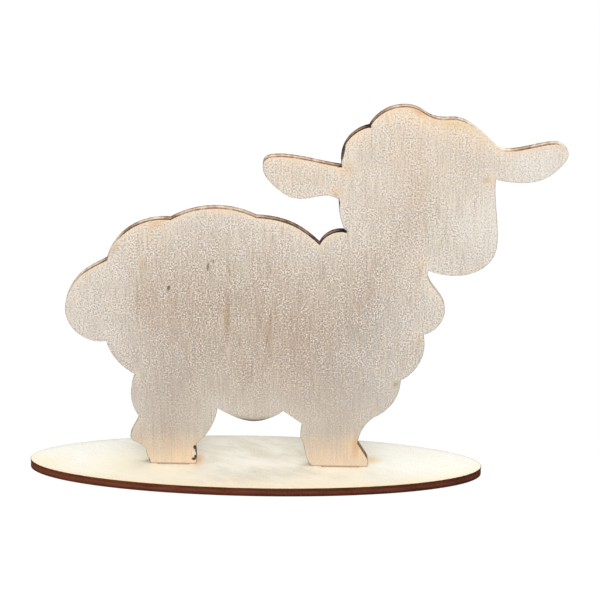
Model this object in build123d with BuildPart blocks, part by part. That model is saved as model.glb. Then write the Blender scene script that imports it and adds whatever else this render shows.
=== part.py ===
from build123d import *
import os

# A flat plywood sheep that stands on an oval base, both cut by laser from three-ply birch sheet.
# A tab under each hoof drops into a slot of the base, and the soles rest on the base around it.
# The origin is the middle of the base's underside. +Z is up, +X is towards the head, and the
# sheep's front face looks along -Y.

# Driving dimensions, in millimetres
sheep_length = 158.0      # tail to the tip of the leading ear
sheep_height = 127.5      # soles to the crown
tail_reach = 62.4         # middle of the base back to the tail
base_length = 150.0
base_width = 36.0
face_veneer = 0.9         # each outer ply of the sheet
core_veneer = 1.2         # the middle ply, with its grain across the other two
slot_line_offset = 1.0    # middle of the base forward to the middle of the sheep's sheet
hind_tab_width = 10.0
front_tab_width = 12.0
tab_recess = 0.2          # end of a tab up to the base's underside
slot_clearance = 0.1      # gap on each side of a tab

# Worked out from those
sheet_thickness = core_veneer + 2 * face_veneer
tab_depth = sheet_thickness - tab_recess
slot_width = sheet_thickness + 2 * slot_clearance

# The cut edge of the sheep, counter-clockwise seen from the front, from the heel of the hind
# hoof. Each stretch starts where the one before it ended. Across, a point is a share of the
# sheep's length from the tail, and up, a share of its height from the soles. A stretch with one
# point is straight, one with two is an arc through the first, and a longer one is a flowing curve.
hind_heel_share = 0.174
hind_toe_share = 0.268
front_heel_share = 0.516
front_toe_share = 0.627
outline_shares = {
    "hind sole": [(hind_toe_share, 0)],
    "hind toe": [(0.270, 0.013), (0.269, 0.036), (0.270, 0.061)],
    "hind leg inside": [(0.297, 0.104), (0.312, 0.165)],
    "belly": [(0.346, 0.142), (0.388, 0.129), (0.420, 0.138), (0.449, 0.160)],
    "elbow": [(0.490, 0.123)],
    "front leg back": [(0.487, 0.102), (0.486, 0.085)],
    "front heel": [(0.493, 0.063), (0.498, 0.034), (0.504, 0.013), (front_heel_share, 0)],
    "front sole": [(front_toe_share, 0)],
    "front toe tip": [(0.629, 0.012), (0.628, 0.025)],
    "front toe": [(0.606, 0.070)],
    "front leg front": [(0.614, 0.108), (0.636, 0.145)],
    "low chest scallop": [(0.676, 0.190), (0.690, 0.254)],
    "middle chest scallop": [(0.729, 0.312), (0.732, 0.386)],
    "high chest scallop": [(0.754, 0.401), (0.773, 0.461), (0.761, 0.496), (0.738, 0.537), (0.735, 0.564)],
    "jaw and face": [
        (0.787, 0.552), (0.815, 0.556), (0.845, 0.574), (0.867, 0.611),
        (0.871, 0.660), (0.864, 0.740), (0.860, 0.814),
    ],
    "leading ear": [
        (0.918, 0.807), (0.957, 0.819), (0.985, 0.848), (1, 0.888), (0.989, 0.906),
        (0.953, 0.908), (0.914, 0.896), (0.879, 0.890), (0.864, 0.892),
    ],
    "brow and crown": [
        (0.836, 0.924), (0.804, 0.956), (0.779, 0.969), (0.745, 0.969), (0.722, 0.977),
        (0.697, 0.995), (0.672, 1), (0.640, 0.990), (0.620, 0.972), (0.605, 0.946),
    ],
    "back of the head": [(0.587, 0.937), (0.562, 0.907), (0.552, 0.870), (0.553, 0.840)],
    "trailing ear": [
        (0.501, 0.852), (0.461, 0.861), (0.421, 0.863), (0.401, 0.854), (0.397, 0.832),
        (0.419, 0.787), (0.453, 0.757), (0.479, 0.753), (0.517, 0.762), (0.550, 0.752),
    ],
    "nape": [(0.553, 0.710), (0.566, 0.666)],
    "neck scallop": [(0.537, 0.661), (0.514, 0.631)],
    "shoulder scallop": [(0.485, 0.662), (0.456, 0.683), (0.420, 0.696), (0.386, 0.700)],
    "back scallop": [(0.298, 0.723), (0.214, 0.690)],
    "rump scallop": [(0.132, 0.662), (0.086, 0.577)],
    "tail": [
        (0.058, 0.557), (0.031, 0.531), (0.012, 0.496), (0, 0.440),
        (0.011, 0.393), (0.039, 0.360), (0.083, 0.352),
    ],
    "low rump scallop": [(0.105, 0.297), (0.143, 0.258)],
    "thigh scallop": [(0.133, 0.200), (0.149, 0.138)],
    "hock": [(0.136, 0.098), (0.132, 0.075), (0.147, 0.058), (0.163, 0.044)],
    "hind heel": [(0.167, 0.021), (hind_heel_share, 0)],
}


def along(share):
    """X of a share of the sheep's length, counted from the tail."""
    return share * sheep_length - tail_reach


# Each tab and its slot lie under the middle of the hoof's sole.
tabs = [
    (along((hind_heel_share + hind_toe_share) / 2), hind_tab_width),
    (along((front_heel_share + front_toe_share) / 2), front_tab_width),
]

with BuildSketch() as sheep_face:
    with BuildLine():
        start = (along(hind_heel_share), 0)
        for stretch in outline_shares.values():
            points = [start] + [(along(x), z * sheep_height) for x, z in stretch]
            if len(points) == 2:
                Line(*points)
            elif len(points) == 3:
                ThreePointArc(*points)
            else:
                Spline(*points)
            start = points[-1]
    make_face()
    for middle, width in tabs:
        with Locations((middle, 0)):
            Rectangle(width, tab_depth, align=(Align.CENTER, Align.MAX))

with BuildSketch() as base_face:
    Ellipse(base_length / 2, base_width / 2)
    for middle, width in tabs:
        with Locations((middle, -slot_line_offset)):
            Rectangle(width + 2 * slot_clearance, slot_width, mode=Mode.SUBTRACT)

# Each sheet's plies are laid up from the face that its profile is drawn on: the sheep's back,
# with its soles on top of the base, and the base's underside.
ply_thicknesses = [face_veneer, core_veneer, face_veneer]
sheep_back = Plane(
    origin=(0, sheet_thickness / 2 - slot_line_offset, sheet_thickness),
    x_dir=(1, 0, 0),
    z_dir=(0, -1, 0),
)
sheets = {
    "sheep": (sheep_face, sheep_back, ["back", "core", "front"]),
    "base": (base_face, Plane.XY, ["bottom", "core", "top"]),
}

os.makedirs("parts", exist_ok=True)
for sheet, (face, plane, plies) in sheets.items():
    depth = 0
    for ply, thickness in zip(plies, ply_thicknesses):
        with BuildPart() as veneer:
            with BuildSketch(plane.offset(depth)):
                add(face.sketch_local)
            extrude(amount=thickness)
        veneer.part.label = f"{sheet}_{ply}_veneer"
        export_step(veneer.part, f"parts/{veneer.part.label}.step")
        depth += thickness
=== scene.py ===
"""A laser-cut plywood sheep that stands in two slots of an oval plywood base.

Each sheet is three plies of birch.  Every ply is modelled here from the outline of its CAD node,
and gets its wood face and its scorched cut edge.
"""

import math

import bmesh
import bpy
import numpy as np
from mathutils import Matrix, Vector


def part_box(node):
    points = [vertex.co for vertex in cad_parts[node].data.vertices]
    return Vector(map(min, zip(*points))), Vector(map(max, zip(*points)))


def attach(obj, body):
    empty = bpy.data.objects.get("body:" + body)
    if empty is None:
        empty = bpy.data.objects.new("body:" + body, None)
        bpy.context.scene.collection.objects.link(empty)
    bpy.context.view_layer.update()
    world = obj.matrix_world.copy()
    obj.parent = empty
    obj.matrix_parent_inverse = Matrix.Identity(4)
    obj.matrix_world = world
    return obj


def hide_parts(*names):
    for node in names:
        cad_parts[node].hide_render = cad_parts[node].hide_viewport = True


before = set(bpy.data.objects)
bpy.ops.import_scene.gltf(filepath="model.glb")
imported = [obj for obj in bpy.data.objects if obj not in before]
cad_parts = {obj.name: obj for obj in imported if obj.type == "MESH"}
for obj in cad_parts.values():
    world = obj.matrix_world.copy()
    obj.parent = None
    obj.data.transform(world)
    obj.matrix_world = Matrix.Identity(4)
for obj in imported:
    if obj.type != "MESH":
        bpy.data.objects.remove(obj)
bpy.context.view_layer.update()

bl_info = {
    "name": "Plywood sheep on an oval base",
    "version": (1, 0, 0),
    "blender": (4, 5, 0),
    "location": "View3D > Sidebar > Plywood sheep",
    "description": "Models the six birch plies of a laser-cut sheep and lights them in a white studio",
    "category": "Object",
}

MM = 0.001
FRONT = Vector((0.0, -1.0, 0.0))
BACK = Vector((0.0, 1.0, 0.0))
UP = Vector((0.0, 0.0, 1.0))
DOWN = Vector((0.0, 0.0, -1.0))


def linear(hex_colour):
    """Turns an sRGB hex colour into linear red, green, blue and alpha."""
    channels = [int(hex_colour[i : i + 2], 16) / 255 for i in (1, 3, 5)]
    values = tuple(c / 12.92 if c <= 0.04045 else ((c + 0.055) / 1.055) ** 2.4 for c in channels)
    return values + (1.0,)


def length_property(name, description, default_mm):
    """A size in metres whose default is given in millimetres."""
    return bpy.props.FloatProperty(
        name=name, description=description, default=default_mm * MM, min=0.0, unit="LENGTH", precision=5
    )


def colour_property(name, description, hex_colour):
    """A colour whose default is an sRGB hex value."""
    return bpy.props.FloatVectorProperty(
        name=name,
        description=description,
        default=linear(hex_colour),
        size=4,
        min=0.0,
        max=1.0,
        subtype="COLOR",
    )


class PlywoodSizes(bpy.types.PropertyGroup):
    """Sizes that finish the sheets beyond what the CAD outline gives"""

    arris_radius: length_property(
        "Arris radius", "Rounding that sanding leaves on the outer edges of a sheet", 0.15
    )
    core_burn_back: length_property(
        "Core burn-back", "How far the core ply burns back behind the face plies", 0.05
    )
    sheep_pitch: length_property(
        "Sheep mesh pitch", "Spacing of the mesh lines across the sheep's faces", 1.5
    )
    base_pitch: length_property(
        "Base mesh pitch", "Spacing of the mesh lines across the base's faces", 2.0
    )
    # Near a rim of the sheep the warm tint is partly heat of the cut and, on its upper rims, partly a painted
    # highlight.
    rim_warm_reach: length_property(
        "Warm rim reach", "How far the heat of the cut tints the face from its rim", 1.8
    )
    # The paler margin is partly the wood's own paler tone and partly painted light.
    rim_pale_reach: length_property(
        "Pale rim reach", "How far the paler, more sanded margin fades into the face", 26.0
    )
    # The grey line darkens the face along the lower rims.
    rim_grey_line_reach: length_property(
        "Grey rim line reach", "Width of the grey smoke line along the lower rims", 0.45
    )
    # The bright line is a painted highlight; the same width also sets the grey line along the base's far rim.
    rim_bright_reach: length_property(
        "Bright rim reach", "Width of the bright line along the upper rims", 0.9
    )
    base_pale_reach: length_property(
        "Pale base reach", "How far the paler margin of the base fades inwards", 4.0
    )
    rim_ring: length_property(
        "Rim ring", "Width of the mesh ring that carries the tint and smoke along a rim", 0.5
    )
    # The hooves' warmth is partly heat of the cut and partly painted light bounced up from the base.
    hoof_warm_height: length_property(
        "Warm hoof height", "Height over the base up to which the hooves are warm", 12.5
    )


class PlywoodColours(bpy.types.PropertyGroup):
    """Colours of the wood, its scorch marks and the stage"""

    sheep_pale: colour_property("Sheep pale wood", "Early wood of the sheep's face veneer", "#C7B49F")
    sheep_dark: colour_property("Sheep dark wood", "Late wood of the sheep's face veneer", "#BC9F87")
    # The paler margin near the rims is partly painted light.
    sheep_margin: colour_property("Sheep margin", "Paler wood near the rims of the sheep", "#F1E9DC")
    base_pale: colour_property("Base pale wood", "Early wood of the base's face veneer", "#FAF6E6")
    base_dark: colour_property("Base dark wood", "Late wood of the base's face veneer", "#E5DECA")
    base_margin: colour_property("Base margin", "Paler wood near the rims of the base", "#FDFCF1")
    # The warm tint is partly heat of the cut, and on the upper rims and hooves partly painted light.
    warm_tint: colour_property("Warm tint", "Wood that the cut has warmed to peach", "#FCDFBC")
    base_warm: colour_property("Base warm tint", "Wood of the base that the cut has warmed", "#FDE9C0")
    # Glints are painted highlights on the fibre tufts; pits are partly darker pores and partly painted shade
    # in the hollows.
    glint: colour_property("Glints", "Sanded fibre tufts that catch the light", "#FFF6EB")
    pit: colour_property("Pits", "Pores and hollows between the fibre tufts", "#8B705A")
    # The dark tint darkens the faces along the lower rims, under the belly, low on the sheep and along the
    # base's far rim.
    dark_tint: colour_property("Dark tint", "Smoke stain and scorched spots on the faces", "#54463B")
    vessel: colour_property("Vessel lines", "Long brownish lines in the face veneer", "#B8957A")
    char_light: colour_property("Light char", "Thinly scorched cut edge of a face ply", "#EDE0CC")
    char_middle: colour_property("Brown char", "Scorched cut edge of a face ply", "#9C785E")
    char_dark: colour_property("Dark char", "Heavily scorched cut edge of a face ply", "#2C1B13")
    core_light: colour_property("Core edge", "Cut end grain of the core ply", "#F3E8D6")
    core_middle: colour_property("Brown core edge", "Scorched end grain of the core ply", "#B2947A")
    core_dark: colour_property("Dark core edge", "Heavily scorched end grain of the core ply", "#37241A")
    rim_light: colour_property("Light base rim", "Palest streaks in the scorched rim of the base", "#874B32")
    rim_middle: colour_property("Base rim", "Scorched rim of the base", "#613223")
    rim_dark: colour_property("Dark base rim", "Darkest streaks in the rim of the base", "#30180F")
    floor: colour_property("Floor", "Matt white studio floor", "#FAFAFA")
    floor_bounce: colour_property("Floor bounce", "Grey that the floor throws on the object", "#8A8A8A")


class PlywoodStage(bpy.types.PropertyGroup):
    """Camera and lamps of the studio"""

    camera_lens: bpy.props.FloatProperty(
        name="Lens", description="Focal length on a 36 mm sensor", default=139.83, unit="CAMERA"
    )
    camera_turn: bpy.props.FloatProperty(
        name="Turn",
        description="Camera's turn round the object",
        default=math.radians(-1.011),
        subtype="ANGLE",
    )
    camera_rise: bpy.props.FloatProperty(
        name="Rise",
        description="Camera's angle over the floor",
        default=math.radians(25.183),
        subtype="ANGLE",
    )
    camera_roll: bpy.props.FloatProperty(
        name="Roll", description="Camera's tilt to one side", default=math.radians(1.540), subtype="ANGLE"
    )
    camera_distance: length_property("Distance", "From the camera to the point it looks at", 750.8)
    camera_aim: bpy.props.FloatVectorProperty(
        name="Aim",
        description="Point the camera looks at",
        default=(13.10 * MM, 0.0, 62.71 * MM),
        subtype="XYZ",
    )
    front_power: bpy.props.FloatProperty(
        name="Front lamp", description="Power of the soft box in front and above", default=1.43, unit="POWER"
    )
    overhead_power: bpy.props.FloatProperty(
        name="Overhead lamp", description="Power of the large soft box overhead", default=2.62, unit="POWER"
    )
    side_power: bpy.props.FloatProperty(
        name="Side lamp", description="Power of the soft box at the right", default=0.6, unit="POWER"
    )
    sky_strength: bpy.props.FloatProperty(
        name="Sky", description="Even light from the white walls of the studio", default=0.36, min=0.0
    )


def add_node(tree, kind, inputs=None, settings=None):
    """Adds one node, sets its settings, and fills or links its inputs."""
    node = tree.nodes.new(kind)
    for name, value in (settings or {}).items():
        setattr(node, name, value)
    for socket, value in (inputs or {}).items():
        if isinstance(value, bpy.types.NodeSocket):
            tree.links.new(value, node.inputs[socket])
        else:
            node.inputs[socket].default_value = value
    return node


# A Mix node that lays one colour over another.  Its sockets go by number, because they share their
# names with those for other kinds of data.
COLOUR_MIX = {"data_type": "RGBA"}
SHARE, UNDER, OVER, MIXED = 0, 6, 7, 2
# A Mapping node that stretches a pattern by its scale.
STRETCH = {"vector_type": "TEXTURE"}


def new_material(name):
    """An empty node material and its tree."""
    material = bpy.data.materials.new(name)
    material.use_nodes = True
    material.node_tree.nodes.clear()
    return material, material.node_tree


def per_metre(millimetres):
    """Noise scale at which one blob of the pattern is about this wide."""
    return 1.0 / (millimetres * MM)


# Index of refraction of dry wood, and the depth of its finest relief.
WOOD_IOR = 1.5
RELIEF = 0.05 * MM


def end_in_matt_wood(tree, colour, roughness, height, bump, specular):
    """Ends a material in a matt wood surface, with fine bumps from the height."""
    normal = add_node(
        tree, "ShaderNodeBump", {"Height": height, "Strength": bump, "Distance": RELIEF}
    ).outputs[0]
    wood = add_node(
        tree,
        "ShaderNodeBsdfPrincipled",
        {
            "Base Color": colour,
            "Roughness": roughness,
            "Normal": normal,
            "IOR": WOOD_IOR,
            "Specular IOR Level": specular,
        },
    ).outputs[0]
    add_node(tree, "ShaderNodeOutputMaterial", {"Surface": wood})


# How a warmer tone moves red, green and blue.
WARM_SHIFT = (2.0, 0.4, -3.0)
# How deep a small mark reaches into its sheet, so that it does not show on the other side.
MARK_DEPTH = 1.0 * MM


def grain_places(tree, place, look):
    """The place drawn out along the grain, by how many times each pattern is longer than wide."""
    places = {}
    for pattern, times in (
        ("figure", look["figure_times"]),
        ("patches", 2.0),
        ("fibres", 20.0),
        ("vessels", 33.0),
    ):
        scale = [1.0, 1.0, 1.0]
        scale[look["grain_axis"]] = times
        places[pattern] = add_node(
            tree,
            "ShaderNodeMapping",
            {"Vector": place, "Rotation": look["grain_turn"], "Scale": scale},
            STRETCH,
        ).outputs[0]
    return places


def figured_wood(tree, along, stored, colours, look):
    """Soft bands of growth figure with a paler margin that is partly painted light, greyer patches and vessel
    lines.
    """
    figure = add_node(
        tree,
        "ShaderNodeTexNoise",
        {"Vector": along["figure"], "Scale": per_metre(look["figure_mm"]), "Detail": 2.0, "Distortion": 0.5},
    ).outputs[0]
    figure_share = add_node(
        tree, "ShaderNodeMapRange", {"Value": figure, "From Min": 0.32, "From Max": 0.68}
    ).outputs[0]
    wood = add_node(
        tree, "ShaderNodeMix", {SHARE: figure_share, UNDER: look["pale"], OVER: look["dark"]}, COLOUR_MIX
    ).outputs[MIXED]
    wood = add_node(
        tree, "ShaderNodeMix", {SHARE: stored["margin"], UNDER: wood, OVER: look["margin"]}, COLOUR_MIX
    ).outputs[MIXED]
    colourless = add_node(tree, "ShaderNodeRGBToBW", {"Color": wood}).outputs[0]
    wood = add_node(
        tree, "ShaderNodeMix", {SHARE: stored["grey"], UNDER: wood, OVER: colourless}, COLOUR_MIX
    ).outputs[MIXED]
    # Vessel lines are about 0.1 mm wide, drawn 0.8 mm wide and some 26 mm long so that they show.
    lines = add_node(
        tree, "ShaderNodeTexNoise", {"Vector": along["vessels"], "Scale": per_metre(0.8), "Detail": 1.0}
    ).outputs[0]
    line_share = add_node(
        tree,
        "ShaderNodeMapRange",
        {"Value": lines, "From Min": 0.54, "From Max": 0.74, "To Max": look["vessel_share"]},
    ).outputs[0]
    return add_node(
        tree, "ShaderNodeMix", {SHARE: line_share, UNDER: wood, OVER: colours.vessel}, COLOUR_MIX
    ).outputs[MIXED]


def clouded(tree, place, wood, look):
    """The wood with soft clouds 3.5 mm across that turn it a little warmer or greyer."""
    clouds = add_node(
        tree, "ShaderNodeTexNoise", {"Vector": place, "Scale": per_metre(3.5), "Detail": 2.0}
    ).outputs[0]
    warmer = [look["cloud"] * part for part in WARM_SHIFT]
    hue_shift = add_node(
        tree,
        "ShaderNodeVectorMath",
        {0: clouds, 1: warmer, 2: [1.0 - part / 2 for part in warmer]},
        {"operation": "MULTIPLY_ADD"},
    ).outputs[0]
    return add_node(
        tree, "ShaderNodeVectorMath", {0: wood, 1: hue_shift}, {"operation": "MULTIPLY"}
    ).outputs[0]


def tuft_height(tree, place, margin, strength, look):
    """Height of the sanded fibre tufts, below zero in the pits and above it on the crests.

    Tufts are about 0.1 mm across, drawn 0.45 mm so that they show.  Paler wood has more crests.
    """
    across_face = add_node(
        tree,
        "ShaderNodeMapping",
        {"Vector": place, "Rotation": look["face_turn"], "Scale": (1.0, 1.2, 1.0)},
        STRETCH,
    ).outputs[0]
    tufts = add_node(
        tree,
        "ShaderNodeTexNoise",
        {"Vector": across_face, "Scale": per_metre(0.45), "Detail": 0.0},
        {"noise_dimensions": "2D"},
    ).outputs[0]
    swing = add_node(
        tree,
        "ShaderNodeMapRange",
        {"Value": tufts, "From Min": 0.24, "From Max": 0.76, "To Min": -1.0, "To Max": 1.0},
    ).outputs[0]
    lifted = add_node(
        tree,
        "ShaderNodeMath",
        {0: margin, 1: look["glint_lift"], 2: swing},
        {"operation": "MULTIPLY_ADD"},
    ).outputs[0]
    return add_node(tree, "ShaderNodeMath", {0: lifted, 1: strength}, {"operation": "MULTIPLY"}).outputs[0]


def with_glints_and_pits(tree, wood, tufts, margin, colours, look):
    """The wood with white glints on the tufts, which are painted highlights, and brown pits between them,
    partly painted shade, shallower in pale wood.
    """
    pit_share = add_node(
        tree,
        "ShaderNodeMapRange",
        {"Value": margin, "To Min": look["pit_share"], "To Max": look["pale_pit_share"]},
    ).outputs[0]
    for low, high, at_low, at_high, colour in (
        (0.0, 1.0, 0.0, look["glint_share"], colours.glint),
        (-1.0, 0.0, pit_share, 0.0, colours.pit),
    ):
        share = add_node(
            tree,
            "ShaderNodeMapRange",
            {"Value": tufts, "From Min": low, "From Max": high, "To Min": at_low, "To Max": at_high},
        ).outputs[0]
        wood = add_node(
            tree, "ShaderNodeMix", {SHARE: share, UNDER: wood, OVER: colour}, COLOUR_MIX
        ).outputs[MIXED]
    return wood


def with_marks(tree, place, wood, look):
    """The wood with its small marks, each a soft oval."""
    across, along, through = look["mark_axes"]
    for first, second, half_width, half_length, lean, softness, share, colour in look["marks"]:
        middle, reach, turn = [0.0] * 3, [0.0] * 3, [0.0] * 3
        middle[across], middle[along], middle[through] = first * MM, second * MM, look["mark_level"]
        reach[across], reach[along], reach[through] = half_width * MM, half_length * MM, MARK_DEPTH
        turn[through] = math.radians(lean)
        local = add_node(
            tree,
            "ShaderNodeMapping",
            {"Vector": place, "Location": middle, "Rotation": turn, "Scale": reach},
            STRETCH,
        ).outputs[0]
        blot = add_node(
            tree, "ShaderNodeTexGradient", {"Vector": local}, {"gradient_type": "SPHERICAL"}
        ).outputs["Fac"]
        blot_share = add_node(
            tree, "ShaderNodeMapRange", {"Value": blot, "From Max": softness, "To Max": share}
        ).outputs[0]
        wood = add_node(
            tree, "ShaderNodeMix", {SHARE: blot_share, UNDER: wood, OVER: linear(colour)}, COLOUR_MIX
        ).outputs[MIXED]
    return wood


def sanded_birch_veneer(name, colours, look):
    """Rotary-cut birch veneer, sanded and left raw.

    It gives the eye a pale, nearly matt face with a fine sandy mottle of white glints, which are
    painted highlights, and brown pits, partly painted shade, long faint fibres, a few brownish
    vessel lines, wide soft bands of growth figure, a paler margin that is partly painted light, and
    peach tints where the heat of the cut has reached the face, which on the upper rims and hooves
    are partly painted light.
    """
    material, tree = new_material(name)
    place = add_node(tree, "ShaderNodeTexCoord").outputs["Object"]
    along = grain_places(tree, place, look)
    stored = {
        kind: add_node(tree, "ShaderNodeAttribute", settings={"attribute_name": kind}).outputs["Fac"]
        for kind in ("warmth", "margin", "grey", "mottle", "fibre", "dark_tint")
    }
    wood = figured_wood(tree, along, stored, colours, look)
    # Bundles of fibres are about 0.1 mm wide, drawn 0.5 mm so that they show.
    fibres = add_node(
        tree,
        "ShaderNodeTexNoise",
        {"Vector": along["fibres"], "Scale": per_metre(0.5), "Detail": 2.0, "Roughness": 0.6},
    ).outputs[0]
    # The fibres break up the warm tint, carry a light and dark swing, and vary the gloss.
    warm_break, fibre_swing, roughness = (
        add_node(
            tree,
            "ShaderNodeMapRange",
            {"Value": fibres, "From Min": 0.3, "From Max": 0.7, "To Min": at_low, "To Max": at_high},
        ).outputs[0]
        for at_low, at_high in ((0.75, 1.2), (-look["fibre"], look["fibre"]), (0.62, 0.82))
    )
    warm_share = add_node(
        tree,
        "ShaderNodeMath",
        {0: stored["warmth"], 1: warm_break},
        {"operation": "MULTIPLY", "use_clamp": True},
    ).outputs[0]
    wood = add_node(
        tree, "ShaderNodeMix", {SHARE: warm_share, UNDER: wood, OVER: look["warm"]}, COLOUR_MIX
    ).outputs[MIXED]
    # Tufts stand in patches some 3 mm across, and the fibres show more between them.
    patches = add_node(
        tree, "ShaderNodeTexNoise", {"Vector": along["patches"], "Scale": per_metre(3.0), "Detail": 1.0}
    ).outputs[0]
    strengths = {}
    for kind, at_low, at_high in (("mottle", 0.55, 1.4), ("fibre", 1.4, 0.55)):
        in_patch = add_node(
            tree,
            "ShaderNodeMapRange",
            {"Value": patches, "From Min": 0.35, "From Max": 0.65, "To Min": at_low, "To Max": at_high},
        ).outputs[0]
        strengths[kind] = add_node(
            tree, "ShaderNodeMath", {0: stored[kind], 1: in_patch}, {"operation": "MULTIPLY"}
        ).outputs[0]
    fibre_value = add_node(
        tree, "ShaderNodeMath", {0: fibre_swing, 1: strengths["fibre"], 2: 1.0}, {"operation": "MULTIPLY_ADD"}
    ).outputs[0]
    wood = add_node(
        tree, "ShaderNodeVectorMath", {0: wood, "Scale": fibre_value}, {"operation": "SCALE"}
    ).outputs[0]
    wood = clouded(tree, place, wood, look)
    tufts = tuft_height(tree, place, stored["margin"], strengths["mottle"], look)
    wood = with_glints_and_pits(tree, wood, tufts, stored["margin"], colours, look)
    # The dark tint along the lower rims, under the belly and low on the sheep, and along the base's far rim.
    wood = add_node(
        tree, "ShaderNodeMix", {SHARE: stored["dark_tint"], UNDER: wood, OVER: colours.dark_tint}, COLOUR_MIX
    ).outputs[MIXED]
    wood = with_marks(tree, place, wood, look)
    end_in_matt_wood(tree, wood, roughness, tufts, bump=0.3, specular=0.3)
    return material


# Burnt runs along the cut edges: their width in mm, and how far they are drawn out on x, y and z.
SHEEP_RUNS = (1.5, (1.0, 2.0, 1.0))
BASE_RUNS = (0.8, (10.0, 10.0, 1.0))


def scorched_edge(name, light, middle, dark, runs):
    """Laser-cut plywood edge, scorched brown.

    It gives the eye a matt band that goes from cream over brown to nearly black in short runs
    along the cut, darkest in the notches, with fine burn lines.
    """
    material, tree = new_material(name)
    run_mm, drawn_out = runs
    place = add_node(tree, "ShaderNodeTexCoord").outputs["Object"]
    lengthened = add_node(
        tree, "ShaderNodeMapping", {"Vector": place, "Scale": drawn_out}, STRETCH
    ).outputs[0]
    streaks = add_node(
        tree, "ShaderNodeTexNoise", {"Vector": lengthened, "Scale": per_metre(run_mm), "Detail": 3.0}
    ).outputs[0]
    # Burn lines: the laser's pulses are 0.1 mm apart, drawn 0.5 mm apart so that they show.
    pulses = add_node(
        tree, "ShaderNodeTexNoise", {"Vector": place, "Scale": per_metre(0.5), "Detail": 2.0}
    ).outputs[0]
    mixed = add_node(
        tree, "ShaderNodeMix", {"Factor": 0.35, "A": streaks, "B": pulses}, {"data_type": "FLOAT"}
    ).outputs[0]
    swing = add_node(
        tree,
        "ShaderNodeMapRange",
        {"Value": mixed, "From Min": 0.35, "From Max": 0.65, "To Min": -0.22, "To Max": 0.22},
    ).outputs[0]
    char = add_node(tree, "ShaderNodeAttribute", settings={"attribute_name": "char"}).outputs["Fac"]
    scorch = add_node(
        tree, "ShaderNodeMath", {0: char, 1: swing}, {"operation": "ADD", "use_clamp": True}
    ).outputs[0]
    colour = light
    for low, high, deeper in ((0.0, 0.5, middle), (0.5, 1.0, dark)):
        share = add_node(
            tree, "ShaderNodeMapRange", {"Value": scorch, "From Min": low, "From Max": high}
        ).outputs[0]
        colour = add_node(
            tree, "ShaderNodeMix", {SHARE: share, UNDER: colour, OVER: deeper}, COLOUR_MIX
        ).outputs[MIXED]
    roughness = add_node(
        tree,
        "ShaderNodeMapRange",
        {"Value": pulses, "From Min": 0.3, "From Max": 0.7, "To Min": 0.7, "To Max": 0.9},
    ).outputs[0]
    end_in_matt_wood(tree, colour, roughness, pulses, bump=0.5, specular=0.1)
    return material


# Points closer than this, in metres, are one.
SAME_PLACE = 1e-6
# Polygons that turn less than this, in degrees, are one flat.
FLAT_TURN = 0.2
# Polygons that turn less than this, in degrees, shade as one.
SMOOTH_TURN = 25.0
# A polygon looks outwards where the cosine between it and its sheet's direction is above this.
OUTWARD = 0.99
# Steps that round an arris over a quarter turn.
ARRIS_STEPS = 3


def axis_of(direction):
    """The axis, 0, 1 or 2, that a direction runs along."""
    return max(range(3), key=lambda i: abs(direction[i]))


def pick_faces(piece, test):
    """In edit mode, selects the faces that pass the test and no others."""
    bpy.ops.mesh.select_mode(type="FACE")
    bpy.ops.mesh.select_all(action="DESELECT")
    mesh = bmesh.from_edit_mesh(piece.data)
    for face in mesh.faces:
        face.select_set(test(face))
    bmesh.update_edit_mesh(piece.data)


def open_sheet(node, piece_name, outward):
    """Copies a CAD node and keeps only its outward face, which stays open in edit mode."""
    piece = bpy.data.objects.new(piece_name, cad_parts[node].data.copy())
    piece.data.name = piece_name
    piece.data.materials.clear()
    bpy.context.scene.collection.objects.link(piece)
    bpy.ops.object.select_all(action="DESELECT")
    piece.select_set(True)
    bpy.context.view_layer.objects.active = piece
    bpy.ops.object.mode_set(mode="EDIT")
    bpy.ops.mesh.select_all(action="SELECT")
    bpy.ops.mesh.remove_doubles(threshold=SAME_PLACE)
    bpy.ops.mesh.dissolve_limited(angle_limit=math.radians(FLAT_TURN))
    pick_faces(piece, lambda face: face.normal.dot(outward) < OUTWARD)
    bpy.ops.mesh.delete(type="FACE")
    return piece


def boundary_of(piece, outward):
    """Outline of the open sheet in edit mode: start points, end points and outward directions."""
    mesh = bmesh.from_edit_mesh(piece.data)
    starts, ends = [], []
    for edge in mesh.edges:
        if edge.is_boundary:
            loop = edge.link_loops[0]
            starts.append(loop.vert.co.copy())
            ends.append(loop.link_loop_next.vert.co.copy())
    starts, ends = np.array(starts), np.array(ends)
    away = np.cross(ends - starts, np.array(outward))
    away /= np.linalg.norm(away, axis=1)[:, None]
    return starts, ends, away


def thicken(node, outward):
    """In edit mode, extrudes the open sheet inwards to its ply's thickness."""
    low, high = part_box(node)
    axis = axis_of(outward)
    bpy.ops.mesh.select_all(action="SELECT")
    bpy.ops.mesh.extrude_region_move(
        TRANSFORM_OT_translate={"value": -outward * (high[axis] - low[axis])}
    )
    bpy.ops.mesh.select_all(action="SELECT")
    bpy.ops.mesh.normals_make_consistent(inside=False)


def round_arris(piece, outward, radius):
    """In edit mode, rounds the rim of the outward face, which stays selected inside it."""
    pick_faces(piece, lambda face: face.normal.dot(outward) > OUTWARD)
    bpy.ops.transform.translate(value=-outward * radius)
    turn = math.radians(90.0 / ARRIS_STEPS)
    for step in range(ARRIS_STEPS):
        across = radius * (math.cos(step * turn) - math.cos((step + 1) * turn))
        rise = radius * (math.sin((step + 1) * turn) - math.sin(step * turn))
        bpy.ops.mesh.inset(thickness=across, depth=rise, use_boundary=True)


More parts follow.
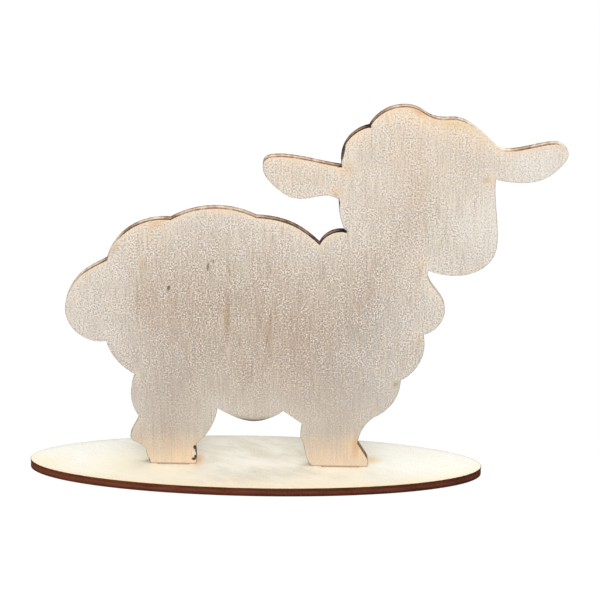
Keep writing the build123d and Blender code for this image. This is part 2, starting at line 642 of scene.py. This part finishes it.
def lay_mesh_lines(piece, node, outward, pitch):
    """In edit mode, divides the outward face along both its axes, so that it can carry soft tints."""
    low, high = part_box(node)
    axis = axis_of(outward)
    level = (high if outward[axis] > 0 else low)[axis]

    def off_face(face):
        off_level = abs(face.calc_center_median()[axis] - level) > SAME_PLACE
        return face.normal.dot(outward) < OUTWARD or off_level

    pick_faces(piece, off_face)
    bpy.ops.mesh.hide()
    for cut_axis in range(3):
        if cut_axis == axis:
            continue
        line = low[cut_axis] + pitch * 0.5
        while line < high[cut_axis]:
            point, normal = [0.0] * 3, [0.0] * 3
            point[cut_axis], normal[cut_axis] = line, 1.0
            bpy.ops.mesh.select_all(action="SELECT")
            bpy.ops.mesh.bisect(plane_co=point, plane_no=normal, threshold=SAME_PLACE)
            line += pitch
    bpy.ops.mesh.reveal(select=False)


def leave_edit_mode():
    """Goes back to object mode and shades the finished ply."""
    bpy.ops.object.mode_set(mode="OBJECT")
    bpy.ops.object.shade_smooth_by_angle(angle=math.radians(SMOOTH_TURN))


def model_face_ply(node, piece_name, outward, sizes, pitch):
    """Models a face ply with a rounded outer arris, and gives the piece and its outline."""
    piece = open_sheet(node, piece_name, outward)
    outline = boundary_of(piece, outward)
    thicken(node, outward)
    round_arris(piece, outward, sizes.arris_radius)
    bpy.ops.mesh.inset(thickness=sizes.rim_ring, depth=0.0, use_boundary=True)
    lay_mesh_lines(piece, node, outward, pitch)
    leave_edit_mode()
    return piece, outline


def model_core_ply(node, piece_name, outward, burn_back):
    """Models a core ply that is burnt back behind the face plies."""
    piece = open_sheet(node, piece_name, outward)
    bpy.ops.mesh.select_all(action="SELECT")
    bpy.ops.mesh.inset(thickness=burn_back, depth=0.0, use_boundary=True)
    bpy.ops.mesh.select_all(action="INVERT")
    bpy.ops.mesh.delete(type="FACE")
    thicken(node, outward)
    leave_edit_mode()
    return piece


def distance_to_outline(points, outline, axis):
    """Seen along the axis, each point's distance to the outline and the direction out of it there."""
    starts, ends, away = outline
    flat = points.copy()
    flat[:, axis] = starts[0, axis]
    along = ends - starts
    squared = (along**2).sum(1)
    best = np.full(len(flat), np.inf)
    nearest = np.zeros(len(flat), int)
    for i in range(len(starts)):
        share = np.clip(((flat - starts[i]) @ along[i]) / squared[i], 0.0, 1.0)
        gap = np.linalg.norm(flat - starts[i] - share[:, None] * along[i], axis=1)
        closer = gap < best
        best[closer] = gap[closer]
        nearest[closer] = i
    return best, away[nearest]


def vertices_of(piece):
    """The piece's vertex places as an array."""
    flat = np.zeros(len(piece.data.vertices) * 3)
    piece.data.vertices.foreach_get("co", flat)
    return flat.reshape(-1, 3)


def write_attributes(piece, **tints):
    """Stores numbers for each vertex, which the materials read by name."""
    for name, values in tints.items():
        attribute = piece.data.attributes.new(name, "FLOAT", "POINT")
        attribute.data.foreach_set("value", np.asarray(values, np.float32))


# On the upright sheet, a polygon of the arris that leans out and down by more than this is pale, painted
# light against the shade that falls there.
LOWER_ARRIS = 0.2


def finish_ply(piece, node, body, outward, face_material, edge_material):
    """Gives a ply its wood face and its scorched edge, and ties it to the frame.

    On the upright sheet, the arris stays pale where it looks down, painted light against the shade that falls
    there, and is scorched elsewhere.
    """
    piece.data.materials.append(face_material)
    piece.data.materials.append(edge_material)
    upright = outward.z == 0.0
    for face in piece.data.polygons:
        facing = face.normal.dot(outward)
        lower_arris = upright and facing > LOWER_ARRIS and face.normal.z < -LOWER_ARRIS
        face.material_index = 0 if facing > OUTWARD or lower_arris else 1
    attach(piece, body)
    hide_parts(node)


# Warm patches on the sheep's faces: x, z, reach in mm and strength.
WARM_SPOTS = (
    # Rump.
    (-34.0, 89.5, 5.0, 0.50),
    (-38.0, 78.0, 8.0, 0.14),
    # Back of the head, crown and brow.
    (29.5, 119.5, 3.5, 0.45),
    (40.9, 128.4, 4.0, 0.60),
    (48.5, 127.5, 4.0, 0.60),
    (55.0, 125.7, 4.0, 0.60),
    (62.0, 124.0, 4.5, 0.60),
    (68.0, 119.5, 4.0, 0.40),
    # Roots of both ears, the trailing ear and the face.
    (71.8, 106.5, 2.4, 0.60),
    (24.2, 101.2, 3.0, 0.45),
    (26.8, 109.3, 3.2, 0.60),
    (10.0, 107.0, 12.0, 0.26),
    (50.0, 115.0, 16.0, 0.30),
    # Notches of the neck and chest, and both toes, whose warmth is partly painted light bounced up from the
    # base.
    (51.3, 77.4, 3.0, 0.40),
    (52.6, 50.1, 2.5, 0.40),
    (31.8, 11.5, 3.5, 0.60),
    (-22.9, 6.5, 3.5, 0.60),
)
# Paler patches on the sheep's faces, in the same form, and a darker one on the shoulder: partly the wood's
# own tone and partly painted light and shade.
PALE_SPOTS = (
    (-54.0, 58.0, 15.0, 0.22),
    (50.0, 106.0, 17.0, 0.22),
    (37.0, 104.0, 8.0, 0.10),
    (21.0, 74.0, 10.0, -0.12),
    (-24.0, 76.0, 12.0, 0.05),
    (69.0, 90.0, 11.0, 0.40),
    (86.0, 115.0, 10.0, 0.45),
    (54.0, 60.0, 9.0, 0.12),
    (38.0, 39.0, 12.0, 0.15),
)
# Greyer patches on the sheep's faces, in the same form: thigh, foreleg and chest.
GREY_SPOTS = (
    (-30.0, 38.0, 15.0, 0.20),
    (31.0, 38.0, 15.0, 0.30),
    (38.0, 55.0, 10.0, 0.20),
)
# How deeply the cut edge is scorched, beyond an even tan, in the same form; at the nape, the back of the head
# and the slope of the face partly painted shade and light.
CHAR_SPOTS = (
    # Tail, rump and back.
    (-61.0, 65.5, 5.5, -0.45),
    (-54.1, 74.5, 5.0, 0.20),
    (-48.9, 76.7, 2.0, 0.35),
    (-46.9, 81.5, 3.5, -0.60),
    (-42.0, 87.6, 5.0, 0.35),
    (-28.6, 91.3, 2.5, 0.40),
    (4.5, 94.4, 6.0, 0.30),
    (11.5, 91.5, 5.0, 0.30),
    # Notch of the back, and nape, where the darker char is partly painted shade.
    (16.5, 86.5, 3.5, 0.40),
    (18.7, 84.0, 1.8, 0.50),
    (22.6, 88.9, 3.5, 0.60),
    (26.9, 88.3, 2.2, 0.60),
    # Under the trailing ear, and up the back of the head to the crown, where the darker char is partly
    # painted shade on edges that face away from the light.
    (24.6, 98.0, 2.6, 0.75),
    (25.3, 113.5, 3.2, 0.80),
    (24.5, 110.0, 2.0, 0.40),
    (26.0, 118.5, 3.0, 0.40),
    (29.4, 122.2, 3.5, 0.30),
    (33.2, 123.9, 1.6, 0.80),
    (36.5, 127.8, 3.5, 0.30),
    (43.5, 130.0, 5.0, 0.06),
    # Slope of the face, leading ear and chest, where the mostly lighter char is partly painted light on edges
    # that face the light.
    (67.5, 123.0, 5.0, -0.40),
    (72.5, 118.3, 4.0, -0.50),
    (83.0, 118.0, 4.5, 0.15),
    (95.0, 117.0, 4.0, -0.40),
    (56.3, 68.5, 6.0, -0.50),
    # Legs and hooves.
    (-40.5, 35.0, 6.0, -0.45),
    (-40.0, 18.0, 3.8, -0.65),
    (14.9, 18.0, 4.0, -0.45),
    (-41.4, 12.6, 1.6, 0.45),
    (-35.3, 4.2, 1.5, 0.50),
    (35.3, 9.1, 4.0, 0.60),
    (-20.5, 7.4, 3.0, 0.60),
)
# Where the core and the back ply are scorched less than the front ply, in the same form.
FAR_CHAR_SPOTS = (
    (-54.5, 74.0, 8.0, -0.35),
    (-37.0, 90.0, 8.0, -0.15),
)
# Where the rim of the sheep's faces is darkened, in the same form: a dark line under the belly.
DARK_RIM_SPOTS = ((-1.4, 20.0, 5.0, 1.80),)
# Small marks on the sheep's front: x, z, half width and half length in mm, lean in degrees,
# softness, share and colour.
SHEEP_MARKS = (
    # Dark specks on the flank and rump, and a brown streak.
    (-16.6, 74.9, 0.50, 1.90, 6.0, 0.6, 0.85, "#7A5F48"),
    (-14.9, 76.9, 0.35, 0.90, 0.0, 0.6, 0.75, "#7A5F48"),
    (-29.1, 67.3, 0.70, 1.20, 25.0, 0.6, 0.90, "#7A5C3E"),
    (-10.2, 57.5, 1.20, 13.0, 0.0, 0.7, 0.45, "#AE8752"),
    # Fine dark lines of the grain.
    (-9.7, 73.6, 0.35, 3.40, -15.6, 0.7, 0.45, "#8F6E48"),
    (2.7, 49.2, 0.35, 4.20, 8.0, 0.7, 0.50, "#8A6246"),
    (3.8, 57.3, 0.35, 3.00, 0.0, 0.7, 0.40, "#8F6A4C"),
    (-6.0, 48.5, 0.35, 3.00, 0.0, 0.7, 0.40, "#8F6A4C"),
    (-2.0, 38.0, 0.35, 6.00, 0.0, 0.7, 0.45, "#8A6246"),
    (-39.1, 63.2, 0.35, 11.0, 0.0, 0.7, 0.35, "#9C7A58"),
    # Soft brown bands on the rump and flank.
    (-36.3, 62.9, 4.50, 14.0, 0.0, 1.0, 0.28, "#BC9468"),
    (3.7, 53.0, 0.90, 9.00, 0.0, 1.0, 0.35, "#B8906C"),
    (-37.6, 75.2, 2.00, 3.00, 0.0, 1.0, 0.35, "#C29C66"),
    # Dark blots at the hind toe with a pale gap, and a burn at the hind heel.
    (-20.4, 9.4, 0.65, 1.00, 0.0, 0.4, 1.00, "#4A382C"),
    (-20.1, 8.4, 0.35, 1.10, 0.0, 0.5, 0.90, "#5A4636"),
    (-20.7, 5.0, 0.90, 0.60, 0.0, 0.4, 1.00, "#33231A"),
    (-20.2, 5.9, 0.50, 0.80, 0.0, 0.4, 1.00, "#3B2A20"),
    (-20.8, 7.2, 0.55, 1.00, 0.0, 0.6, 0.80, "#EFE7E0"),
    (-35.4, 4.3, 0.35, 0.70, 0.0, 0.6, 0.80, "#5A3C28"),
    # Burns at the nape, under the trailing ear and at the crown's notch.
    (26.8, 88.2, 0.90, 0.70, 30.0, 0.5, 1.00, "#2E1E17"),
    (24.5, 97.6, 0.45, 2.00, 0.0, 0.5, 1.00, "#241A14"),
    (33.4, 123.7, 0.60, 0.55, 0.0, 0.5, 1.00, "#2E1E17"),
    # Brown line along the soles.
    (0.0, 3.15, 150.0, 0.42, 0.0, 0.5, 0.35, "#6B442C"),
    # Burns behind the head, over the trailing ear.
    (25.4, 115.0, 0.45, 4.20, 9.6, 0.5, 0.90, "#2A1C15"),
    (24.2, 110.3, 0.90, 0.50, 0.0, 0.5, 1.00, "#241A14"),
    # Warm toe of the front hoof, roots of the trailing ear, and a faint band down the head.
    (32.7, 10.6, 1.60, 5.50, 0.0, 1.0, 0.55, "#D8985C"),
    (27.0, 109.6, 2.40, 3.00, 0.0, 1.0, 0.35, "#D6AC7E"),
    (23.4, 100.5, 2.20, 3.20, 0.0, 1.0, 0.40, "#D6AC7E"),
    (49.5, 104.0, 6.00, 24.0, 0.0, 1.0, 0.12, "#C4A07C"),
    # Golden rims of the crown, brow, leading ear's root and rump, and a painted highlight along the back.
    (48.3, 128.9, 3.60, 1.30, 26.0, 1.0, 0.65, "#EAA44E"),
    (59.5, 125.0, 9.00, 2.40, 10.0, 1.0, 0.35, "#DFC680"),
    (70.6, 106.7, 1.90, 1.40, 0.0, 1.0, 0.50, "#C8AA80"),
    (-33.0, 89.4, 4.50, 1.60, -25.0, 1.0, 0.45, "#E6B27C"),
    (-46.2, 80.4, 1.40, 3.20, 25.0, 1.0, 0.50, "#C8AA78"),
    (-13.0, 94.2, 10.0, 1.30, 0.0, 1.0, 0.55, "#FFE2BC"),
    # Golden notches of the neck and chest.
    (51.3, 75.0, 1.00, 3.50, 0.0, 1.0, 0.45, "#C8AE84"),
    (52.0, 49.6, 0.80, 4.00, 0.0, 1.0, 0.50, "#C4A676"),
    (45.1, 34.2, 1.40, 1.70, 0.0, 1.0, 0.60, "#A88E64"),
)
# Small marks on the base's top, with y in place of z.
BASE_MARKS = (
    # Pale middle between the hooves.
    (0.6, -1.0, 14.0, 6.0, 0.0, 1.0, 0.70, "#FFF7EA"),
    # Warm glow at the hind toe, shade behind the hind heel, and golden glow at the front toe.
    (-19.2, 1.0, 2.8, 5.4, 0.0, 1.0, 0.72, "#E8B078"),
    (-20.2, -3.2, 1.8, 1.6, 0.0, 1.0, 0.40, "#F1D29C"),
    (-36.6, -1.2, 1.9, 1.0, 0.0, 1.0, 0.60, "#B08A62"),
    (38.4, 2.4, 4.4, 3.6, 20.0, 1.0, 0.60, "#E8BE6E"),
    # Creamy left end, and shade behind the front heel.
    (-68.0, -2.0, 9.0, 8.0, 0.0, 1.0, 0.30, "#F6E2AE"),
    (-44.0, -3.0, 16.0, 12.0, 0.0, 1.0, 0.60, "#FBEFCB"),
    (16.2, -1.6, 2.4, 1.4, 0.0, 1.0, 0.35, "#C4A683"),
    # Pale stretches of the front strip.
    (-28.0, -9.5, 18.0, 6.0, 0.0, 1.0, 0.60, "#FFF6E2"),
    (18.0, -13.0, 22.0, 5.0, 0.0, 1.0, 0.50, "#FFF6E2"),
)


def spots_at(points, spots):
    """Adds up soft round spots of the sheep at each point."""
    total = np.zeros(len(points))
    for x, z, reach, strength in spots:
        squared = (points[:, 0] - x * MM) ** 2 + (points[:, 2] - z * MM) ** 2
        total += strength * np.exp(-squared / (reach * MM) ** 2)
    return total


# Height part of a rim's outward direction, and how much such a rim counts as an upper or a lower one.
UPPER_RIM = ((0.1, 0.7), (0.0, 1.0))
LOWER_RIM = ((-0.4, 0.2), (1.0, 0.0))
# Height over the table in mm, and how pale the margin, which is partly painted light, how strong the mottle
# and how much darker the face gets towards the bottom.
MARGIN_AT_HEIGHT = ((25.0, 38.0, 70.0), (0.93, 0.76, 1.0))
MOTTLE_AT_HEIGHT = (
    (3.0, 12.0, 28.0, 45.0, 60.0, 90.0, 105.0),
    (0.13, 0.18, 0.34, 0.53, 0.58, 0.58, 0.47),
)
DARKENING_AT_HEIGHT = ((10.0, 22.0, 45.0), (0.14, 0.07, 0.0))
# Warmth at an upper rim and on a hoof, and how steeply each falls off: partly heat of the cut, and partly
# painted light, a highlight on the upper rims and light bounced up from the base on the hooves.
RIM_WARMTH, RIM_WARMTH_FALL = 0.75, 1.2
HOOF_WARMTH, HOOF_WARMTH_FALL = 0.80, 0.7
# Paleness at any rim, partly painted light, and on the painted highlight along the upper rims, and how much
# of the mottle that highlight loses.
RIM_PALENESS = 0.72
HIGHLIGHT_PALENESS, HIGHLIGHT_MOTTLE_LOSS = 0.5, 0.8
# The fibres' strength beside the mottle's, and how both change where the wood is pale.
FIBRE_STRENGTH, PALE_FIBRE_LOSS, PALE_MOTTLE_GAIN = 1.3, 0.4, 0.6
# Grey line along the lower rims.
LOWER_RIM_GREY = 0.06


def sheep_tints(points, outline, sizes):
    """How warm, pale, grey, mottled, fibrous and darkened the sheep's face is at each point; its paleness and
    warmth are partly painted light.
    """
    height = points[:, 2]
    rim, away = distance_to_outline(points, outline, axis_of(FRONT))
    upper = np.interp(away[:, 2], *UPPER_RIM)
    lower = np.interp(away[:, 2], *LOWER_RIM)
    # A painted highlight along the upper rims.
    painted_highlight = upper * np.exp(-rim / sizes.rim_bright_reach)

    over_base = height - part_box("base_top_veneer")[1].z
    hoof = np.clip(1.0 - over_base / sizes.hoof_warm_height, 0.0, 1.0)
    # Heat tint, with painted light in part: a highlight on the upper rims and light bounced up from the base
    # on the hooves.
    warmth = RIM_WARMTH * upper * np.exp(-((rim / sizes.rim_warm_reach) ** RIM_WARMTH_FALL))
    warmth += HOOF_WARMTH * hoof**HOOF_WARMTH_FALL + spots_at(points, WARM_SPOTS)

    # The paler margin is partly painted light, set by the distance to the rim and the height.
    margin = RIM_PALENESS * np.exp(-rim / sizes.rim_pale_reach) * np.interp(height / MM, *MARGIN_AT_HEIGHT)
    margin += HIGHLIGHT_PALENESS * painted_highlight + spots_at(points, PALE_SPOTS)
    margin = np.clip(margin, 0.0, 1.0)

    mottle = np.interp(height / MM, *MOTTLE_AT_HEIGHT) * (1.0 - HIGHLIGHT_MOTTLE_LOSS * painted_highlight)
    # Grey along the lower rims and a dark line under the belly.
    darkening = (LOWER_RIM_GREY * lower + spots_at(points, DARK_RIM_SPOTS)) * np.exp(-rim / sizes.rim_grey_line_reach)
    return {
        "warmth": np.clip(warmth, 0.0, 1.0),
        "margin": margin,
        "grey": spots_at(points, GREY_SPOTS),
        "mottle": mottle * (1.0 + PALE_MOTTLE_GAIN * margin),
        "fibre": mottle * (FIBRE_STRENGTH - PALE_FIBRE_LOSS * margin),
        "dark_tint": np.clip(darkening + np.interp(height / MM, *DARKENING_AT_HEIGHT), 0.0, 1.0),
    }


# Even tan of the sheep's cut edge on each ply, before its spots.
FRONT_TAN, BACK_TAN, CORE_TAN = 0.47, 0.39, 0.25


def edge_char(points, tan, spots):
    """How deeply the sheep's cut edge is scorched at each point, from its even tan and its spots."""
    return np.maximum(tan + spots_at(points, spots), 0.0)


# Depth y on the base in mm, and how much such a point belongs to its front strip.
FRONT_STRIP = ((-10.5, 4.5), (1.0, 0.0))
# Distance in mm from the base's middle along x, and how pale it is there: painted shade in the middle under
# the sheep and painted light towards the ends.
PALE_ENDS = ((22.0, 52.0), (0.1, 0.9))
MOST_PALE = 0.9
BASE_RIM_PALENESS = 0.5
# Warmth at the base's rim and on its front strip, and their reach beside the sheep's.
BASE_RIM_WARMTH, BASE_RIM_WARM_TIMES = 0.35, 0.8
STRIP_WARMTH, STRIP_WARM_TIMES = 0.60, 2.5
# Grey line along the base's far rim.
FAR_RIM_GREY = 0.14
# Strength of the base's mottle and fibres, the same all over.
BASE_GRAIN = 0.5


def base_tints(points, outline, sizes):
    """How warm, pale, grey, mottled, fibrous and darkened the base's face is at each point; its paleness is
    partly painted shade and light.
    """
    rim, away = distance_to_outline(points, outline, axis_of(UP))
    strip = np.interp(points[:, 1] / MM, *FRONT_STRIP)
    far = np.clip(away[:, 1], 0.0, 1.0)
    warmth = BASE_RIM_WARMTH * (1.0 - far) * np.exp(-rim / (BASE_RIM_WARM_TIMES * sizes.rim_warm_reach))
    warmth += STRIP_WARMTH * strip * np.exp(-rim / (STRIP_WARM_TIMES * sizes.rim_warm_reach))
    margin = np.interp(np.abs(points[:, 0]) / MM, *PALE_ENDS)
    margin += BASE_RIM_PALENESS * np.exp(-rim / sizes.base_pale_reach)
    return {
        "warmth": np.clip(warmth, 0.0, 1.0),
        "margin": np.clip(margin, 0.0, MOST_PALE),
        "grey": np.zeros(len(points)),
        "mottle": np.full(len(points), BASE_GRAIN),
        "fibre": np.full(len(points), BASE_GRAIN),
        "dark_tint": FAR_RIM_GREY * far * np.exp(-((rim / sizes.rim_bright_reach) ** 2)),
    }


# How deeply the base's rim is scorched at its left and right tip, and how much more on the face plies.
RIM_CHAR = (0.06, 0.46)
TOP_CHAR, BOTTOM_CHAR = 0.22, 0.34


def rim_char(points):
    """How deeply the core of the base's rim is scorched at each point, lighter at the left tip."""
    low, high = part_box("base_core_veneer")
    return np.interp(points[:, 0], (low.x, high.x), RIM_CHAR)


class PLYWOOD_OT_sheep_faces(bpy.types.Operator):
    """Model the sheep's front and back veneers"""

    bl_idname = "plywood_sheep.sheep_faces"
    bl_label = "Sheep face veneers"

    def execute(self, context):
        sizes, colours = context.scene.plywood_sizes, context.scene.plywood_colours
        veneer = sanded_birch_veneer(
            "Sanded birch face veneer",
            colours,
            {
                "pale": colours.sheep_pale,
                "dark": colours.sheep_dark,
                "margin": colours.sheep_margin,
                "warm": colours.warm_tint,
                "grain_axis": 2,
                "grain_turn": (0.0, math.radians(-2.0), 0.0),
                "face_turn": (math.radians(90.0), 0.0, 0.0),
                "figure_mm": 11.0,
                "figure_times": 8.0,
                "vessel_share": 0.3,
                "fibre": 0.28,
                "cloud": 0.04,
                "glint_share": 0.95,
                "glint_lift": 0.40,
                "pit_share": 0.72,
                "pale_pit_share": 0.45,
                "marks": SHEEP_MARKS,
                "mark_axes": (0, 2, 1),
                "mark_level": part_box("sheep_front_veneer")[0].y,
            },
        )
        edge = scorched_edge(
            "Laser scorched face ply edge",
            colours.char_light,
            colours.char_middle,
            colours.char_dark,
            SHEEP_RUNS,
        )
        for side, outward, tan, char_spots in (
            ("front", FRONT, FRONT_TAN, CHAR_SPOTS),
            ("back", BACK, BACK_TAN, CHAR_SPOTS + FAR_CHAR_SPOTS),
        ):
            node = f"sheep_{side}_veneer"
            piece, outline = model_face_ply(node, f"sheep_{side}_ply", outward, sizes, sizes.sheep_pitch)
            points = vertices_of(piece)
            tints = sheep_tints(points, outline, sizes)
            write_attributes(piece, **tints, char=edge_char(points, tan, char_spots))
            finish_ply(piece, node, "sheep", outward, veneer, edge)
        return {"FINISHED"}


class PLYWOOD_OT_sheep_core(bpy.types.Operator):
    """Model the sheep's core ply"""

    bl_idname = "plywood_sheep.sheep_core"
    bl_label = "Sheep core ply"

    def execute(self, context):
        sizes, colours = context.scene.plywood_sizes, context.scene.plywood_colours
        edge = scorched_edge(
            "Laser cut core end grain",
            colours.core_light,
            colours.core_middle,
            colours.core_dark,
            SHEEP_RUNS,
        )
        node = "sheep_core_veneer"
        piece = model_core_ply(node, "sheep_core_ply", FRONT, sizes.core_burn_back)
        char = edge_char(vertices_of(piece), CORE_TAN, CHAR_SPOTS + FAR_CHAR_SPOTS)
        write_attributes(piece, char=char)
        finish_ply(piece, node, "sheep", FRONT, edge, edge)
        return {"FINISHED"}


class PLYWOOD_OT_base_faces(bpy.types.Operator):
    """Model the base's top and bottom veneers"""

    bl_idname = "plywood_sheep.base_faces"
    bl_label = "Base face veneers"

    def execute(self, context):
        sizes, colours = context.scene.plywood_sizes, context.scene.plywood_colours
        veneer = sanded_birch_veneer(
            "Sanded birch base veneer",
            colours,
            {
                "pale": colours.base_pale,
                "dark": colours.base_dark,
                "margin": colours.base_margin,
                "warm": colours.base_warm,
                "grain_axis": 0,
                "grain_turn": (0.0, 0.0, math.radians(-25.0)),
                "face_turn": (0.0, 0.0, 0.0),
                "figure_mm": 4.0,
                "figure_times": 2.2,
                "vessel_share": 0.05,
                "fibre": 0.05,
                "cloud": 0.03,
                "glint_share": 0.4,
                "glint_lift": 0.0,
                "pit_share": 0.2,
                "pale_pit_share": 0.2,
                "marks": BASE_MARKS,
                "mark_axes": (0, 1, 2),
                "mark_level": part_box("base_top_veneer")[1].z,
            },
        )
        edge = scorched_edge(
            "Laser scorched base rim", colours.rim_light, colours.rim_middle, colours.rim_dark, BASE_RUNS
        )
        for side, outward, deeper in (("top", UP, TOP_CHAR), ("bottom", DOWN, BOTTOM_CHAR)):
            node = f"base_{side}_veneer"
            piece, outline = model_face_ply(node, f"base_{side}_ply", outward, sizes, sizes.base_pitch)
            points = vertices_of(piece)
            tints = base_tints(points, outline, sizes)
            write_attributes(piece, **tints, char=rim_char(points) + deeper)
            finish_ply(piece, node, "base", outward, veneer, edge)
        return {"FINISHED"}


class PLYWOOD_OT_base_core(bpy.types.Operator):
    """Model the base's core ply"""

    bl_idname = "plywood_sheep.base_core"
    bl_label = "Base core ply"

    def execute(self, context):
        sizes, colours = context.scene.plywood_sizes, context.scene.plywood_colours
        edge = scorched_edge(
            "Laser scorched base core", colours.rim_light, colours.rim_middle, colours.rim_dark, BASE_RUNS
        )
        node = "base_core_veneer"
        piece = model_core_ply(node, "base_core_ply", UP, sizes.core_burn_back)
        write_attributes(piece, char=rim_char(vertices_of(piece)))
        finish_ply(piece, node, "base", UP, edge, edge)
        return {"FINISHED"}


# Side of the floor in metres, and the gap that keeps it off the base's underside.
FLOOR_SIDE = 6.0
FLOOR_GAP = 0.05 * MM
# The floor's own white, and its share beside the light that falls on it and shows the shadow.
FLOOR_GLOW, FLOOR_GLOW_SHARE = 1.03, 0.95
WHITE = (1.0, 1.0, 1.0, 1.0)


def seen_rays(tree):
    """One for what the eye sees, also by way of gloss or glass, and zero for light that bounces."""
    rays = add_node(tree, "ShaderNodeLightPath").outputs
    seen = rays["Is Camera Ray"]
    for kind in ("Is Glossy Ray", "Is Transmission Ray"):
        seen = add_node(
            tree, "ShaderNodeMath", {0: seen, 1: rays[kind]}, {"operation": "ADD", "use_clamp": True}
        ).outputs[0]
    return seen


def matt_white_paper(colours):
    """Seamless paper of the studio floor.

    It gives the eye an even white that keeps the object's shadow, and throws only a softer grey on
    the object.
    """
    material, tree = new_material("Matt white studio floor")
    paper = add_node(tree, "ShaderNodeBsdfDiffuse", {"Color": colours.floor}).outputs[0]
    glow = add_node(tree, "ShaderNodeEmission", {"Strength": FLOOR_GLOW}).outputs[0]
    bright = add_node(tree, "ShaderNodeMixShader", {0: FLOOR_GLOW_SHARE, 1: paper, 2: glow}).outputs[0]
    dull = add_node(tree, "ShaderNodeBsdfDiffuse", {"Color": colours.floor_bounce}).outputs[0]
    surface = add_node(tree, "ShaderNodeMixShader", {0: seen_rays(tree), 1: dull, 2: bright}).outputs[0]
    add_node(tree, "ShaderNodeOutputMaterial", {"Surface": surface})
    return material


def white_walls(sky_strength):
    """Walls of the studio, white to the eye, which light the object more softly."""
    world = bpy.data.worlds.new("White studio walls")
    world.use_nodes = True
    tree = world.node_tree
    tree.nodes.clear()
    strength = add_node(
        tree, "ShaderNodeMapRange", {"Value": seen_rays(tree), "To Min": sky_strength}
    ).outputs[0]
    walls = add_node(tree, "ShaderNodeBackground", {"Color": WHITE, "Strength": strength}).outputs[0]
    add_node(tree, "ShaderNodeOutputWorld", {"Surface": walls})
    return world


def add_soft_box(name, place, side, power, aim):
    """Adds a square lamp that looks at the aim."""
    lamp = bpy.data.lights.new(name, "AREA")
    lamp.shape = "SQUARE"
    lamp.size = side
    lamp.energy = power
    soft_box = bpy.data.objects.new(name, lamp)
    soft_box.location = place
    soft_box.rotation_mode = "QUATERNION"
    soft_box.rotation_quaternion = (aim - Vector(place)).to_track_quat("-Z", "Y")
    bpy.context.scene.collection.objects.link(soft_box)


# Width in mm of the sensor that the camera's lens goes with, and the camera's near limit in metres.
SENSOR_WIDTH, NEAR_LIMIT = 36.0, 0.01


def add_camera(stage, aim):
    """Adds the camera that looks at the aim, by its turn, rise and roll."""
    turn, rise, roll = stage.camera_turn, stage.camera_rise, stage.camera_roll
    back = Vector((math.sin(turn) * math.cos(rise), -math.cos(turn) * math.cos(rise), math.sin(rise)))
    level_right = Vector((math.cos(turn), math.sin(turn), 0.0))
    level_up = back.cross(level_right)
    right = level_right * math.cos(roll) + level_up * math.sin(roll)
    up = level_up * math.cos(roll) - level_right * math.sin(roll)
    camera = bpy.data.objects.new("studio_camera", bpy.data.cameras.new("studio_camera"))
    camera.data.lens = stage.camera_lens
    camera.data.sensor_width = SENSOR_WIDTH
    camera.data.clip_start = NEAR_LIMIT
    turned = Matrix((right, up, back)).transposed().to_4x4()
    camera.matrix_world = Matrix.Translation(aim + back * stage.camera_distance) @ turned
    bpy.context.scene.collection.objects.link(camera)
    bpy.context.scene.camera = camera


class PLYWOOD_OT_stage(bpy.types.Operator):
    """Set up the white floor, the soft lamps and the camera"""

    bl_idname = "plywood_sheep.stage"
    bl_label = "White studio"

    def execute(self, context):
        stage, colours = context.scene.plywood_stage, context.scene.plywood_colours
        bpy.ops.object.select_all(action="DESELECT")
        bpy.ops.mesh.primitive_plane_add(size=FLOOR_SIDE, location=(0.0, 0.0, -FLOOR_GAP))
        floor = context.active_object
        floor.name = "studio_floor"
        floor.data.materials.append(matt_white_paper(colours))
        context.scene.world = white_walls(stage.sky_strength)
        aim = Vector(stage.camera_aim)
        # Each soft box has its place and the length of its side in metres.
        for name, place, side, power in (
            ("front_soft_box", (0.0, -0.36, 0.27), 0.50, stage.front_power),
            ("overhead_soft_box", (0.02, 0.05, 0.75), 0.60, stage.overhead_power),
            ("side_soft_box", (0.65, -0.02, 0.45), 0.50, stage.side_power),
        ):
            add_soft_box(name, place, side, power, aim)
        add_camera(stage, aim)
        context.scene.view_settings.view_transform = "Standard"
        return {"FINISHED"}


class PLYWOOD_PT_sidebar(bpy.types.Panel):
    """Lists the steps that build the sheep, and their settings"""

    bl_idname = "PLYWOOD_PT_sidebar"
    bl_label = "Plywood sheep"
    bl_space_type = "VIEW_3D"
    bl_region_type = "UI"
    bl_category = "Plywood sheep"

    def draw(self, context):
        for step in STEPS:
            self.layout.operator(step.bl_idname)
        for settings in SETTINGS:
            group = getattr(context.scene, settings)
            box = self.layout.box()
            for name in group.__annotations__:
                box.prop(group, name)


SETTINGS = {
    "plywood_sizes": PlywoodSizes,
    "plywood_colours": PlywoodColours,
    "plywood_stage": PlywoodStage,
}
STEPS = (
    PLYWOOD_OT_sheep_faces,
    PLYWOOD_OT_sheep_core,
    PLYWOOD_OT_base_faces,
    PLYWOOD_OT_base_core,
    PLYWOOD_OT_stage,
)


def register():
    for name, group in SETTINGS.items():
        bpy.utils.register_class(group)
        setattr(bpy.types.Scene, name, bpy.props.PointerProperty(type=group))
    for step in STEPS:
        bpy.utils.register_class(step)
    bpy.utils.register_class(PLYWOOD_PT_sidebar)


def unregister():
    bpy.utils.unregister_class(PLYWOOD_PT_sidebar)
    for step in reversed(STEPS):
        bpy.utils.unregister_class(step)
    for name, group in SETTINGS.items():
        delattr(bpy.types.Scene, name)
        bpy.utils.unregister_class(group)


def main():
    register()
    bpy.ops.plywood_sheep.sheep_faces()
    bpy.ops.plywood_sheep.sheep_core()
    bpy.ops.plywood_sheep.base_faces()
    bpy.ops.plywood_sheep.base_core()
    bpy.ops.plywood_sheep.stage()


if __name__ == "__main__":
    main()
